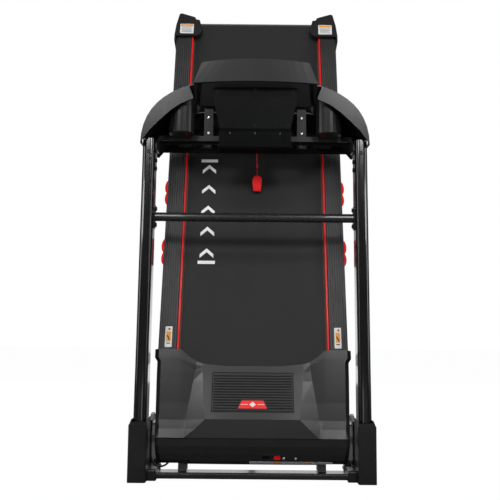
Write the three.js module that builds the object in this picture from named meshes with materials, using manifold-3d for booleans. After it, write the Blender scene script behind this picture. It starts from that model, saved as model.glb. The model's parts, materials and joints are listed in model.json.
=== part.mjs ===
// A folding motorised home treadmill, stood up for storage with its deck raised.
// Millimetres, +Z up. The motor end and the backs of the uprights face -Y.
import * as THREE from "three";
import { mergeVertices } from "three/addons/utils/BufferGeometryUtils.js";
import Module from "manifold-3d";

const wasm = await Module();
wasm.setup();

// ---- driving dimensions -------------------------------------------------
const GAP = 0.3;
const BASE_LENGTH = 1000;
const FOLD_DEG = 75.2;

// Floor frame. Y runs back from the front faces of the boots.
const RAIL_IN = 334.5;
const RAIL_OUT = 376.5;
const SIDE_TUBE_TOP = 45;
const SIDE_TUBE_BOTTOM = 4;
const FRONT_TUBE = { y0: 38, y1: 98, z0: 5, z1: 25 };
const MID_TUBE = { y0: 784, y1: 816, z0: 5, z1: 30 };
const WHEEL = { x0: 303, x1: 323, y: 140, z: 26, r: 24, axle: 5 };
const BOOT = { inner: 330.5, outer: 388, depth: 96, shoulder: 176, top: 193 };

// Uprights lean back a little from the vertical.
const UPRIGHT_LEAN_DEG = 2.6;
const UPRIGHT_FRONT = 3;
const UPRIGHT_DEPTH = 80;
const UPRIGHT_TOP = 1108;
const CROSSBAR_Z = 846;

// Fold pivot, and the deck laid out flat in its own frame: x across, y along it
// from the pivot to the rear, z up from the pivot.
const PIVOT_Y = 100;
const PIVOT_Z = 100;
const RAIL_TOP = 85.7;
const BOARD_TOP = 72;
const BOARD_BOTTOM = 54;
const BOARD_HALF = 300;
const BELT_HALF = 240;
const BELT_THICK = 2;
const STRIP_IN = 244.5;
const FOOT_RAIL_IN = 252.3;
const FOOT_RAIL_OUT = 312.5;
const FOOT_RAIL_START = 270;
const FOOT_RAIL_END = 1540.5;
const FRAME_IN = 262;
const FRAME_OUT = 302;
const FRAME_TOP = 53.5;
const FRAME_BOTTOM = -6;
const ROLLER_FRONT = { y: 190, z: 46, r: 24 };
const ROLLER_REAR = { y: 1607.5, z: 49.5, r: 20.5 };
const MOTOR = { y: 92, z: 26, r: 46 };
const HOOD_HALF = 306;

// Lift strut: lower eye on the floor frame, upper eye under the deck.
const STRUT_EYE_Y = 800;
const STRUT_EYE_Z = 48;
const DECK_EYE_Y = 320;
const DECK_EYE_Z = -35;
const CYLINDER_LENGTH = 338;
const ROD_LENGTH = 358;

// Console, above the upright tops.
const CONSOLE_FRONT = 30;
const CONSOLE_DEPTH = 205;
const CONSOLE_DROP = 112;
const CONSOLE_SKIN = 4;
const CUP = { x: 250, y: 92, r: 43.5, floor: 1130, rim: 1229 };
const BEAM = { y0: 138, y1: 188, z0: 1122, z1: 1140 };
const CORNER_INNER = 303;

const BUTTON_TRAVEL = 2;

// The sloping lower face of the hood's nose, and what sits in it.
const NOSE_DEG = 46.7;
const NOSE_Y = -42;
const NOSE_Z = 68.5;
const SWITCH_X = 78;
const INLET_X = 44;

// Cord routes, from the treadmill's boots: across, back and up.
const LANYARD_ROUTE = [
  [0, 215.2, 1253.4], [0, 220, 1255], [0, 226, 1252.5], [0, 231, 1243], [0.5, 234.5, 1228],
  [1, 237, 1210], [2, 238.4, 1192], [3, 238.9, 1172], [4, 238.9, 1150], [5.5, 238.9, 1125],
  [7, 238.9, 1100], [8, 238.9, 1075], [8.6, 238.9, 1050], [9, 238.9, 1035], [9, 238.9, 1024.5],
];
const CABLE_ROUTE = [
  [-328, 60, 155], [-325.5, 60, 152], [-324, 60, 144], [-324, 59.5, 130], [-324, 59, 112],
  [-323.8, 58, 92], [-322.5, 57, 74], [-318, 56, 58], [-310, 55.5, 46.5], [-299, 55.5, 41],
  [-288, 56, 40.5], [-277, 57, 44], [-268, 59, 51], [-262, 61, 60], [-259, 62, 68],
];

// ---- materials ------------------------------------------------------------
function material(color, roughness, metalness) {
  return new THREE.MeshStandardMaterial({ color, roughness, metalness });
}
const paintBlack = material(0x141416, 0.28, 0.3);
const steelBlack = material(0x1b1c1e, 0.5, 0.4);
const plasticBlack = material(0x26272a, 0.55, 0.0);
const plasticGrey = material(0x3a3c40, 0.6, 0.0);
const rubberBlack = material(0x161616, 0.85, 0.0);
const beltBlack = material(0x2a2a29, 0.8, 0.0);
const redPlastic = material(0xd0121c, 0.4, 0.0);
const redElastomer = material(0xe02818, 0.3, 0.0);
const steelBright = material(0xb8babd, 0.3, 0.9);
const woodBoard = material(0x6b5138, 0.8, 0.0);

// ---- geometry helpers -----------------------------------------------------
function positionsOnly(geometry) {
  const plain = geometry.index ? geometry.toNonIndexed() : geometry.clone();
  plain.deleteAttribute("normal");
  plain.deleteAttribute("uv");
  return mergeVertices(plain, 1e-3);
}

function solid(geometry) {
  const merged = positionsOnly(geometry);
  const vertProperties = new Float32Array(merged.attributes.position.array);
  const triVerts = new Uint32Array(merged.index.array);
  return new wasm.Manifold(new wasm.Mesh({ numProp: 3, vertProperties, triVerts }));
}

function geometryOf(manifold) {
  const mesh = manifold.getMesh();
  const geometry = new THREE.BufferGeometry();
  geometry.setAttribute("position", new THREE.BufferAttribute(mesh.vertProperties.slice(), 3));
  geometry.setIndex(new THREE.BufferAttribute(mesh.triVerts.slice(), 1));
  return geometry;
}

function cut(geometry, ...tools) {
  let result = solid(geometry);
  for (const tool of tools) {
    result = result.subtract(solid(tool));
  }
  return geometryOf(result);
}

function join(first, ...others) {
  let result = solid(first);
  for (const other of others) {
    result = result.add(solid(other));
  }
  return geometryOf(result);
}

function mirrored(geometry) {
  const copy = geometry.clone().scale(-1, 1, 1);
  const flat = copy.index ? copy.toNonIndexed() : copy;
  const p = flat.attributes.position;
  for (let i = 0; i < p.count; i += 3) {
    const [x, y, z] = [p.getX(i), p.getY(i), p.getZ(i)];
    p.setXYZ(i, p.getX(i + 1), p.getY(i + 1), p.getZ(i + 1));
    p.setXYZ(i + 1, x, y, z);
  }
  return flat;
}

function block(x0, x1, y0, y1, z0, z1) {
  const box = new THREE.BoxGeometry(x1 - x0, y1 - y0, z1 - z0);
  return box.translate((x0 + x1) / 2, (y0 + y1) / 2, (z0 + z1) / 2);
}

function rod(axis, radius, from, to, sides, a = 0, b = 0) {
  const cylinder = new THREE.CylinderGeometry(radius, radius, to - from, sides);
  cylinder.translate(0, (from + to) / 2, 0);
  if (axis === "x") {
    return cylinder.rotateZ(-Math.PI / 2).translate(0, a, b);
  }
  if (axis === "z") {
    return cylinder.rotateX(Math.PI / 2).translate(a, b, 0);
  }
  return cylinder.translate(a, 0, b);
}

function outline(points) {
  return new THREE.Shape(points.map(([a, b]) => new THREE.Vector2(a, b)));
}

function roundedOutline(w, h, r, cx = 0, cy = 0) {
  const shape = new THREE.Shape();
  shape.moveTo(cx - w / 2 + r, cy - h / 2);
  shape.absarc(cx + w / 2 - r, cy - h / 2 + r, r, -Math.PI / 2, 0);
  shape.absarc(cx + w / 2 - r, cy + h / 2 - r, r, 0, Math.PI / 2);
  shape.absarc(cx - w / 2 + r, cy + h / 2 - r, r, Math.PI / 2, Math.PI);
  shape.absarc(cx - w / 2 + r, cy - h / 2 + r, r, Math.PI, 1.5 * Math.PI);
  return shape;
}

// A shape in the plane of the two other axes, run from one place to another along an axis.
function run(axis, shape, from, to, curveSegments = 4, steps = 1) {
  const geometry = new THREE.ExtrudeGeometry(shape, {
    depth: to - from,
    bevelEnabled: false,
    curveSegments,
    steps,
  });
  geometry.translate(0, 0, from);
  const toAxis = new THREE.Matrix4();
  if (axis === "x") {
    toAxis.set(0, 0, 1, 0, 1, 0, 0, 0, 0, 1, 0, 0, 0, 0, 0, 1);
  }
  if (axis === "y") {
    toAxis.set(0, 1, 0, 0, 0, 0, 1, 0, 1, 0, 0, 0, 0, 0, 0, 1);
  }
  return geometry.applyMatrix4(toAxis);
}

function ring(outerShape, innerShape) {
  outerShape.holes.push(innerShape);
  return outerShape;
}

// A closed skin through a list of sections. Each is a loop of as many points, out along
// one face of a sheet and back along the other.
function loft(sections) {
  const count = sections[0].length;
  const positions = [];
  const push = (...points) => points.forEach((p) => positions.push(...p));
  for (let s = 0; s + 1 < sections.length; s += 1) {
    for (let i = 0; i < count; i += 1) {
      const j = (i + 1) % count;
      const [a, b, c, d] = [sections[s][i], sections[s][j], sections[s + 1][j], sections[s + 1][i]];
      push(a, b, c, a, c, d);
    }
  }
  const last = sections[sections.length - 1];
  for (let i = 0; i + 1 < count / 2; i += 1) {
    const [a, b, c, d] = [i, i + 1, count - 2 - i, count - 1 - i].map((k) => sections[0][k]);
    push(a, c, b, a, d, c);
    const [e, f, g, h] = [i, i + 1, count - 2 - i, count - 1 - i].map((k) => last[k]);
    push(e, f, g, e, g, h);
  }
  const geometry = new THREE.BufferGeometry();
  geometry.setAttribute("position", new THREE.Float32BufferAttribute(positions, 3));
  return geometry;
}

function place(parent, name, geometry, look) {
  const mesh = new THREE.Mesh(geometry, look);
  mesh.name = name;
  parent.add(mesh);
  return mesh;
}

function placePair(parent, name, rightGeometry, look) {
  place(parent, name + "_right", rightGeometry, look);
  place(parent, name + "_left", mirrored(rightGeometry), look);
}

// ---- groups ---------------------------------------------------------------
const treadmill = new THREE.Group();
treadmill.position.y = -BASE_LENGTH / 2;

const deck = new THREE.Group();
deck.position.set(0, PIVOT_Y, PIVOT_Z);
deck.rotation.x = THREE.MathUtils.degToRad(FOLD_DEG);
treadmill.add(deck);

// ---- floor frame ----------------------------------------------------------
function buildBase() {
  const width = RAIL_OUT - RAIL_IN;
  const middle = (RAIL_OUT + RAIL_IN) / 2;
  const height = SIDE_TUBE_TOP - SIDE_TUBE_BOTTOM;
  const zMiddle = (SIDE_TUBE_TOP + SIDE_TUBE_BOTTOM) / 2;
  // The extrusion of a "y" run takes the shape's first axis as z and its second as x.
  const section = ring(
    roundedOutline(height, width, 5, zMiddle, middle),
    roundedOutline(height - 5, width - 5, 3, zMiddle, middle),
  );
  const tube = run("y", section, 5, BASE_LENGTH - 8, 2);
  const plate = outline([
    [100, 40], [190, 40], [190, 150], [176, 185], [152, 198], [128, 194], [106, 178], [100, 150],
  ]);
  const gusset = run("x", plate, 326, 336, 2);
  const axle = rod("x", WHEEL.axle, WHEEL.x0 - 5, RAIL_IN + 1, 14, WHEEL.y, WHEEL.z);
  placePair(treadmill, "base_side", join(tube, gusset, axle), paintBlack);
  const wheel = cut(
    rod("x", WHEEL.r, WHEEL.x0, WHEEL.x1, 26, WHEEL.y, WHEEL.z),
    rod("x", WHEEL.axle + 0.6, WHEEL.x0 - 1, WHEEL.x1 + 1, 16, WHEEL.y, WHEEL.z),
  );
  placePair(treadmill, "transport_wheel", wheel, rubberBlack);

  const cap = join(
    block(RAIL_IN - 1, RAIL_OUT + 1, BASE_LENGTH - 7.7, BASE_LENGTH, 0, SIDE_TUBE_TOP + 1),
    block(RAIL_IN - 1, RAIL_OUT + 1, BASE_LENGTH - 60, BASE_LENGTH, 0, SIDE_TUBE_BOTTOM - GAP),
  );
  placePair(treadmill, "base_foot", cap, rubberBlack);

  const t = FRONT_TUBE;
  const flat = ring(
    roundedOutline(t.y1 - t.y0, t.z1 - t.z0, 6, (t.y0 + t.y1) / 2, (t.z0 + t.z1) / 2),
    roundedOutline(t.y1 - t.y0 - 5, t.z1 - t.z0 - 5, 4, (t.y0 + t.y1) / 2, (t.z0 + t.z1) / 2),
  );
  const crossTube = run("x", flat, GAP - CORNER_INNER, CORNER_INNER - GAP, 3);
  const ears = [];
  for (const side of [-1, 1]) {
    const ear = new THREE.Shape();
    ear.moveTo(PIVOT_Y - 30, t.z1 - 1.5);
    ear.lineTo(PIVOT_Y + 22, t.z1 - 1.5);
    ear.lineTo(PIVOT_Y + 19, PIVOT_Z);
    ear.absarc(PIVOT_Y, PIVOT_Z, 19, 0, Math.PI);
    ear.lineTo(PIVOT_Y - 30, t.z1 - 1.5);
    ear.holes.push(new THREE.Path().absarc(PIVOT_Y, PIVOT_Z, 12.9, 0, 2 * Math.PI));
    const [x0, x1] = side < 0 ? [-237, -210] : [210, 237];
    ears.push(run("x", ear, x0, x1, 10));
  }
  place(treadmill, "base_front_tube", join(crossTube, ...ears), paintBlack);

  const m = MID_TUBE;
  const midSection = ring(
    roundedOutline(m.y1 - m.y0, m.z1 - m.z0, 4, (m.y0 + m.y1) / 2, (m.z0 + m.z1) / 2),
    roundedOutline(m.y1 - m.y0 - 5, m.z1 - m.z0 - 5, 2, (m.y0 + m.y1) / 2, (m.z0 + m.z1) / 2),
  );
  const lugs = [];
  for (const x of [-17, 12]) {
    const lug = new THREE.Shape();
    lug.moveTo(STRUT_EYE_Y - 15, m.z1 - 1);
    lug.lineTo(STRUT_EYE_Y + 15, m.z1 - 1);
    lug.absarc(STRUT_EYE_Y, STRUT_EYE_Z, 12, 0, Math.PI);
    lugs.push(run("x", lug, x, x + 5, 6));
  }
  const pin = rod("x", 5, -17, 17, 12, STRUT_EYE_Y, STRUT_EYE_Z);
  const midTube = run("x", midSection, -RAIL_IN + GAP, RAIL_IN - GAP, 2);
  place(treadmill, "base_mid_tube", join(midTube, ...lugs, pin), paintBlack);

  const corner = new THREE.Shape();
  corner.moveTo(32, 0);
  corner.lineTo(110, 0);
  corner.lineTo(110, 30);
  corner.absarc(104, 30, 6, 0, Math.PI / 2);
  corner.absarc(40, 28, 8, Math.PI / 2, Math.PI);
  const cornerBlock = run("x", corner, CORNER_INNER, BOOT.inner - GAP, 3);
  placePair(treadmill, "corner_block", cornerBlock, plasticBlack);
}

function buildBoots() {
  const b = BOOT;
  const xm = (b.inner + b.outer) / 2;
  const w = b.outer - b.inner;
  const lower = run("z", roundedOutline(w, b.depth, 7, xm, b.depth / 2), 0, b.shoulder, 3);
  const p = (x0, x1, y0, y1, z) => [[x0, y0, z], [x1, y0, z], [x1, y1, z], [x0, y1, z]];
  const neck = new THREE.BufferGeometry();
  const low = p(b.inner + 1, b.outer - 2, 2, b.depth - 2, b.shoulder - 1);
  const high = p(b.inner + 1, b.outer - 8.5, 4, b.depth - 6, b.top);
  const points = [...low, ...high];
  const faces = [
    [0, 2, 1], [0, 3, 2], [4, 5, 6], [4, 6, 7], [0, 1, 5], [0, 5, 4],
    [1, 2, 6], [1, 6, 5], [2, 3, 7], [2, 7, 6], [3, 0, 4], [3, 4, 7],
  ];
  const positions = faces.flat().flatMap((i) => points[i]);
  neck.setAttribute("position", new THREE.Float32BufferAttribute(positions, 3));
  const boss = rod("x", 17, b.outer - 3, b.outer + 3, 18, 44, 125);
  const shell = join(lower, neck, boss);
  const cavity = block(RAIL_IN - 1, RAIL_OUT + 1, 3.2, b.depth - 3, -1, b.top + 5);
  const tubeSlot = block(RAIL_IN - 1, RAIL_OUT + 1, b.depth - 4, b.depth + 4, -1, SIDE_TUBE_TOP + 1);
  placePair(treadmill, "boot", cut(shell, cavity, tubeSlot), plasticBlack);
}

function uprightFront(z) {
  return UPRIGHT_FRONT + z * Math.tan(THREE.MathUtils.degToRad(UPRIGHT_LEAN_DEG));
}

function buildUprights() {
  const width = RAIL_OUT - RAIL_IN - 0.6;
  const xm = (RAIL_IN + RAIL_OUT) / 2;
  const bottom = SIDE_TUBE_TOP + GAP;
  const section = ring(
    roundedOutline(width, UPRIGHT_DEPTH, 15, xm, UPRIGHT_DEPTH / 2),
    roundedOutline(width - 4, UPRIGHT_DEPTH - 4, 13, xm, UPRIGHT_DEPTH / 2),
  );
  const tube = run("z", section, bottom, UPRIGHT_TOP, 4);
  const slope = Math.tan(THREE.MathUtils.degToRad(UPRIGHT_LEAN_DEG));
  const shear = new THREE.Matrix4().set(1, 0, 0, 0, 0, 1, slope, uprightFront(0), 0, 0, 1, 0, 0, 0, 0, 1);
  placePair(treadmill, "upright", tube.applyMatrix4(shear), paintBlack);

  const y = uprightFront(CROSSBAR_Z) + UPRIGHT_DEPTH / 2;
  const inner = RAIL_IN;
  const bar = rod("x", 15, -inner + 2, inner - 2, 20, y, CROSSBAR_Z);
  const plates = [];
  for (const x of [-inner + 0.2, inner - 4.2]) {
    plates.push(run("x", roundedOutline(32, 78, 8, y, CROSSBAR_Z), x, x + 4, 3));
    for (const dz of [-27, 27]) {
      const xBolt = x < 0 ? x + 3 : x - 5;
      plates.push(rod("x", 7, xBolt, xBolt + 6, 6, y, CROSSBAR_Z + dz));
    }
  }
  const hollow = rod("x", 13, -inner - 1, inner + 1, 20, y, CROSSBAR_Z);
  place(treadmill, "crossbar", cut(join(bar, ...plates), hollow), paintBlack);
}

// ---- console --------------------------------------------------------------
// Half of the console's arch as seen from the front: level over the middle, then
// curving down to the top of an upright. inset moves it inwards along its normal.
function archPoints(inset, steps) {
  const curve = new THREE.CubicBezierCurve(
    new THREE.Vector2(190, 1293),
    new THREE.Vector2(302, 1264),
    new THREE.Vector2(379, 1205),
    new THREE.Vector2(380, 1082),
  );
  const points = [];
  for (let i = 0; i <= steps; i += 1) {
    const p = curve.getPoint(i / steps);
    const t = curve.getTangent(i / steps);
    points.push([p.x + t.y * inset, p.y - t.x * inset]);
  }
  points[steps][1] = 1082;
  return points;
}

// The front band of a wing: widest beside the visor, running out to nothing at the upright.
function archBand() {
  const outer = archPoints(0, 10).filter(([x]) => x >= 200);
  const inner = [[377, 1083], [372, 1100], [349, 1131], [316, 1165], [283, 1196], [249, 1220], [206, 1239]];
  return [...outer, ...inner];
}

// Height of the console's top at a place across and back.
function consoleTop(x, y) {
  const points = archPoints(0, 40);
  const across = Math.max(Math.abs(x), points[0][0]);
  const after = points.findIndex(([px]) => px >= across);
  const [x1, z1] = points[Math.max(after, 1)];
  const [x0, z0] = points[Math.max(after, 1) - 1];
  const z = z0 + ((z1 - z0) * (across - x0)) / (x1 - x0);
  return z - ((y - CONSOLE_FRONT) * CONSOLE_DROP) / CONSOLE_DEPTH;
}

function sheared(geometry) {
  const slope = -CONSOLE_DROP / CONSOLE_DEPTH;
  const m = new THREE.Matrix4().set(
    1, 0, 0, 0, 0, 1, 0, 0, 0, slope, 1, -slope * CONSOLE_FRONT, 0, 0, 0, 1,
  );
  return geometry.applyMatrix4(m);
}

function fullArch(inset) {
  const right = archPoints(inset, 10);
  const left = right.map(([x, z]) => [-x, z]).reverse();
  return [...left, ...right];
}

// Turns an outline in x and z into one for a "y" run, which takes z first.
function asZX(points) {
  return outline(points.map(([x, z]) => [z, x]));
}

function buildTray() {
  const y0 = CONSOLE_FRONT;
  const y1 = CONSOLE_FRONT + CONSOLE_DEPTH;
  const skin = asZX([...fullArch(0), ...fullArch(CONSOLE_SKIN).reverse()]);
  const top = sheared(run("y", skin, y0, y1));
  const band = [];
  for (const side of [-1, 1]) {
    const points = archBand().map(([x, z]) => [side * x, z]);
    band.push(sheared(run("y", asZX(points), y0, y0 + CONSOLE_SKIN)));
  }
  // The lip on the user's side closes the arch down to a level lower edge.
  const lipShape = fullArch(1).filter(([, z]) => z > 1234);
  const lipCorner = [[345, 1226], [339, 1219], [326, 1215]];
  lipShape.push(...lipCorner, ...lipCorner.map(([x, z]) => [-x, z]).reverse());
  const lip = sheared(run("y", asZX(lipShape), y1 - CONSOLE_SKIN, y1));
  const well = block(-206, 206, y0 - 5, y0 + 118, 1200, 1320);
  const cups = [-1, 1].map((s) => rod("z", CUP.r + 0.6, 1100, 1320, 28, s * CUP.x, CUP.y));
  const ends = block(-400, 400, 0, 300, 900, 1084);
  const posts = [-1, 1].map((s) => {
    const [near, far] = [RAIL_IN - 1.2, RAIL_OUT + 0.8].map((x) => s * x);
    return block(Math.min(near, far), Math.max(near, far), 36, 134, 1000, UPRIGHT_TOP + 1);
  });
  const beamRoom = block(-RAIL_IN, RAIL_IN, 60, BEAM.y1 + 1, 1030, BEAM.z1 + 1);
  const shell = join(top, ...band, lip);
  place(treadmill, "console_tray", cut(shell, well, beamRoom, ...cups, ...posts, ends), plasticBlack);
}

const VISOR = { halfTop: 185, halfBottom: 209, zTop: 1386, zBottom: 1296, bulge: 22, crown: 6 };

function taper(geometry) {
  const p = geometry.attributes.position;
  for (let i = 0; i < p.count; i += 1) {
    const up = (p.getZ(i) - VISOR.zBottom) / (VISOR.zTop - VISOR.zBottom);
    const half = VISOR.halfBottom + (VISOR.halfTop - VISOR.halfBottom) * THREE.MathUtils.clamp(up, 0, 1);
    const middle = 1 - (p.getX(i) / VISOR.halfBottom) ** 2;
    const front = THREE.MathUtils.clamp((126 - p.getY(i)) / 24, 0, 1);
    p.setX(i, p.getX(i) * (half / VISOR.halfBottom));
    p.setY(i, p.getY(i) - VISOR.bulge * middle * front);
    p.setZ(i, p.getZ(i) + VISOR.crown * middle * front * THREE.MathUtils.clamp(up, 0, 1));
  }
  return geometry;
}

const FACE_TOP = [139.8, 1385];
const FACE_BOTTOM = [212, 1210];

function buildVisor() {
  const outer = outline([
    [42, 1296], [52, 1296], [158, 1240], [FACE_BOTTOM[0] - 2, FACE_BOTTOM[1] - 8],
    FACE_BOTTOM, FACE_TOP, [130, 1390], [92, 1387],
  ]);
  const inner = outline([
    [49, 1290], [60, 1280], [152, 1224], [204, 1190],
    [204, FACE_BOTTOM[1] + 6], [137, 1378], [128, 1383], [97, 1380],
  ]);
  const w = VISOR.halfBottom;
  const housing = taper(run("x", outer, -w, w, 4, 14));
  const hollow = taper(run("x", inner, -w + 5, w - 5, 4, 14));
  const belly = block(-w + 5, w - 5, 60, 200, 1150, 1262);
  place(treadmill, "visor", cut(housing, hollow, belly), plasticBlack);
}

function buildDisplay() {
  const face = new THREE.Group();
  const along = new THREE.Vector3(0, FACE_TOP[0] - FACE_BOTTOM[0], FACE_TOP[1] - FACE_BOTTOM[1]).normalize();
  const across = new THREE.Vector3(-1, 0, 0);
  const out = new THREE.Vector3().crossVectors(across, along);
  const basis = new THREE.Matrix4().makeBasis(across, along, out);
  face.quaternion.setFromRotationMatrix(basis);
  face.position.set(0, (FACE_TOP[0] + FACE_BOTTOM[0]) / 2, (FACE_TOP[1] + FACE_BOTTOM[1]) / 2);
  treadmill.add(face);
  const panelShape = outline([[-205, -84], [205, -84], [182, 85], [-182, 85]]);
  const panel = run("z", panelShape, GAP, 6);
  const holes = [-1, 1].map((s) => rod("z", 13, -2, 10, 24, s * 60, -56));
  const socket = rod("z", 11, -2, 10, 16, 0, -56);
  place(face, "display_panel", cut(panel, ...holes, socket), plasticGrey);
  for (const [name, s] of [["start_button", -1], ["stop_button", 1]]) {
    const cap = new THREE.LatheGeometry(
      [[0, 0.4 + BUTTON_TRAVEL], [12.4, 0.4 + BUTTON_TRAVEL], [12.4, 8], [11, 9], [0, 9.6]]
        .map(([r, z]) => new THREE.Vector2(r, z)),
      24,
    );
    place(face, name, cap.rotateX(Math.PI / 2).translate(s * 60, -56, 0), s < 0 ? plasticGrey : redPlastic);
  }
  const key = new THREE.LatheGeometry(
    [[0, 0.5], [10, 0.5], [10, 7], [14, 8], [14, 16], [11, 19], [0, 19]]
      .map(([r, z]) => new THREE.Vector2(r, z)),
    20,
  );
  place(face, "safety_key", key.rotateX(Math.PI / 2).translate(0, -56, 0), redPlastic);
}

function buildUnderside() {
  const cup = new THREE.LatheGeometry(
    [[0, 0], [CUP.r - 3, 0], [CUP.r, 3], [CUP.r, CUP.rim - CUP.floor], [CUP.r - 2.5, CUP.rim - CUP.floor],
      [CUP.r - 2.5, 4], [CUP.r - 4, 3], [0, 3]]
      .map(([r, z]) => new THREE.Vector2(r, z)),
    28,
  );
  cup.rotateX(Math.PI / 2).translate(CUP.x, CUP.y, CUP.floor);
  const p = cup.attributes.position;
  for (let i = 0; i < p.count; i += 1) {
    const up = (p.getZ(i) - CUP.floor) / (CUP.rim - CUP.floor);
    const rim = consoleTop(p.getX(i), p.getY(i)) + 2.5;
    p.setZ(i, up > 0.9 ? rim : p.getZ(i));
  }
  placePair(treadmill, "cup_holder", cup, plasticBlack);

  const b = BEAM;
  const beam = outline([
    [b.y0, b.z0], [b.y0 + 3, b.z0], [b.y0 + 3, b.z1 - 3], [b.y1 - 3, b.z1 - 3], [b.y1 - 3, b.z0],
    [b.y1, b.z0], [b.y1, b.z1], [b.y0, b.z1],
  ]);
  const beamHalf = RAIL_IN - 1;
  const bracket = outline([
    [143, b.z1 - 1], [180, b.z1 - 1], [180, b.z1 + 2], [146, b.z1 + 2], [146, 1238], [143, 1238],
  ]);
  const brackets = [run("x", bracket, 146, 177), run("x", bracket, -177, -146)];
  const cheek = outline([
    [64, 1074], [130, 1074], [b.y1 - 4, b.z0], [b.y1 - 4, b.z1 - 1], [b.y0 - 8, b.z1 - 1], [64, 1092],
  ]);
  const cheeks = [run("x", cheek, beamHalf - 4, beamHalf), run("x", cheek, -beamHalf, 4 - beamHalf)];
  const crossBeam = run("x", beam, -beamHalf, beamHalf);
  place(treadmill, "console_beam", join(crossBeam, ...brackets, ...cheeks), steelBlack);

  const trapezoid = [[-119.5, 1147], [119.5, 1147], [146.5, 1272], [146.5, 1280], [139, 1288], [0, 1291],
    [-139, 1288], [-146.5, 1280], [-146.5, 1272]];
  const box = run("y", asZX(trapezoid), 66, 98);
  const smaller = trapezoid.map(([x, z]) => [x * 0.975, 1213 + (z - 1213) * 0.955]);
  const inside = run("y", asZX(smaller), 69, 99);
  place(treadmill, "control_box", cut(box, inside), plasticBlack);

  const cover = outline([
    [65, 1146.5], [56, 1134], [62, 1084], [68, 1078], [134, 1078], [134, 1081], [70, 1081],
    [65, 1086], [59, 1133], [69, 1146.5],
  ]);
  place(treadmill, "lower_cover", run("x", cover, -121, 121), plasticBlack);

  const grip = new THREE.CapsuleGeometry(17, 26, 5, 14).rotateZ(Math.PI / 2).scale(1, 0.8, 1);
  grip.translate(246, 210, 1133);
  const flush = block(150, 350, 150, 300, 1139, 1180);
  placePair(treadmill, "pulse_grip", cut(grip, flush), plasticGrey);
}

// ---- deck -----------------------------------------------------------------
function buildDeckFrame() {
  const xm = (FRAME_IN + FRAME_OUT) / 2;
  const zm = (FRAME_TOP + FRAME_BOTTOM) / 2;
  const w = FRAME_OUT - FRAME_IN;
  const h = FRAME_TOP - FRAME_BOTTOM;
  const section = ring(roundedOutline(h, w, 4, zm, xm), roundedOutline(h - 5, w - 5, 2, zm, xm));
  const side = run("y", section, -22, 1500, 2);
  placePair(deck, "deck_frame", side, steelBlack);

  place(deck, "pivot_tube", cut(
    rod("x", 12, -FRAME_IN + GAP, FRAME_IN - GAP, 20),
    rod("x", 9, -FRAME_IN - 1, FRAME_IN + 1, 20),
  ), steelBright);

  const member = ring(roundedOutline(25, 20, 3, 348, 4.5), roundedOutline(20, 15, 2, 348, 4.5));
  const bar = run("x", member, -FRAME_IN + GAP, FRAME_IN - GAP, 2);
  const ears = [-13, 8.5].map((x) => {
    const ear = outline([
      [336, -4], [358, -4], [358, -14], [331, -44], [324, -47], [314, -46], [308, -39],
      [309, -30], [316, -24],
    ]);
    return run("x", ear, x, x + 4.5, 2);
  });
  place(deck, "deck_cross_tube", join(bar, ...ears), steelBlack);

  const foot = new THREE.LatheGeometry(
    [[0, -99.5], [17, -99.5], [19, -96], [19, -88], [8, -84], [7, -84], [7, -10.6], [0, -10.6]]
      .map(([r, z]) => new THREE.Vector2(r, z)),
    18,
  );
  placePair(deck, "rear_foot", foot.rotateX(Math.PI / 2).translate(284, 1590, 0), rubberBlack);
}

function beltLoop(offset) {
  const f = ROLLER_FRONT;
  const r = ROLLER_REAR;
  const shape = new THREE.Shape();
  const tilt = Math.asin((f.r - r.r) / (r.y - f.y)) + Math.atan2(r.z - f.z, r.y - f.y);
  shape.moveTo(f.y, f.z + f.r + offset);
  shape.absarc(f.y, f.z, f.r + offset, Math.PI / 2, 1.5 * Math.PI - tilt);
  shape.absarc(r.y, r.z, r.r + offset, -Math.PI / 2, Math.PI / 2);
  return shape;
}

function buildRunningGear() {
  const board = block(-BOARD_HALF, BOARD_HALF, 232, 1560, BOARD_BOTTOM, BOARD_TOP - 2 - GAP);
  place(deck, "running_board", board, woodBoard);
  const belt = run("x", ring(beltLoop(BELT_THICK), beltLoop(GAP)), -BELT_HALF, BELT_HALF, 10);
  place(deck, "running_belt", belt, beltBlack);

  const f = ROLLER_FRONT;
  const drum = rod("x", f.r, -BELT_HALF - 1, BELT_HALF + 1, 24, f.y, f.z);
  const drivenShaft = rod("x", 8, -FRAME_IN + 0.5, FRAME_IN - 0.5, 16, f.y, f.z);
  const pulley = rod("x", 32, -258, -244, 28, f.y, f.z);
  place(deck, "drive_roller", join(drum, drivenShaft, pulley), steelBright);

  const r = ROLLER_REAR;
  const idler = rod("x", r.r, -BELT_HALF - 1, BELT_HALF + 1, 24, r.y, r.z);
  const idlerShaft = rod("x", 8, -FRAME_IN - 2, FRAME_IN + 2, 16, r.y, r.z);
  place(deck, "tail_roller", join(idler, idlerShaft), steelBright);

  const m = MOTOR;
  const can = join(
    rod("x", m.r, -120, 60, 28, m.y, m.z),
    rod("x", m.r - 8, -128, 72, 24, m.y, m.z),
    block(-90, 30, m.y - 34, m.y + 34, -27, m.z - 20),
  );
  const bore = rod("x", 7.6, -130, -60, 16, m.y, m.z);
  place(deck, "motor", cut(can, bore), steelBlack);
  const motorPulley = join(
    rod("x", 14, -258, -244, 24, m.y, m.z),
    rod("x", 7, -250, -62, 16, m.y, m.z),
  );
  place(deck, "motor_pulley", motorPulley, steelBright);
  const pan = outline([
    [-36, -34], [200, -34], [200, -31], [-34, -31], [-40, -10], [-43, -11],
  ]);
  place(deck, "belly_pan", run("x", pan, -204, 204), plasticBlack);
}

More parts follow.
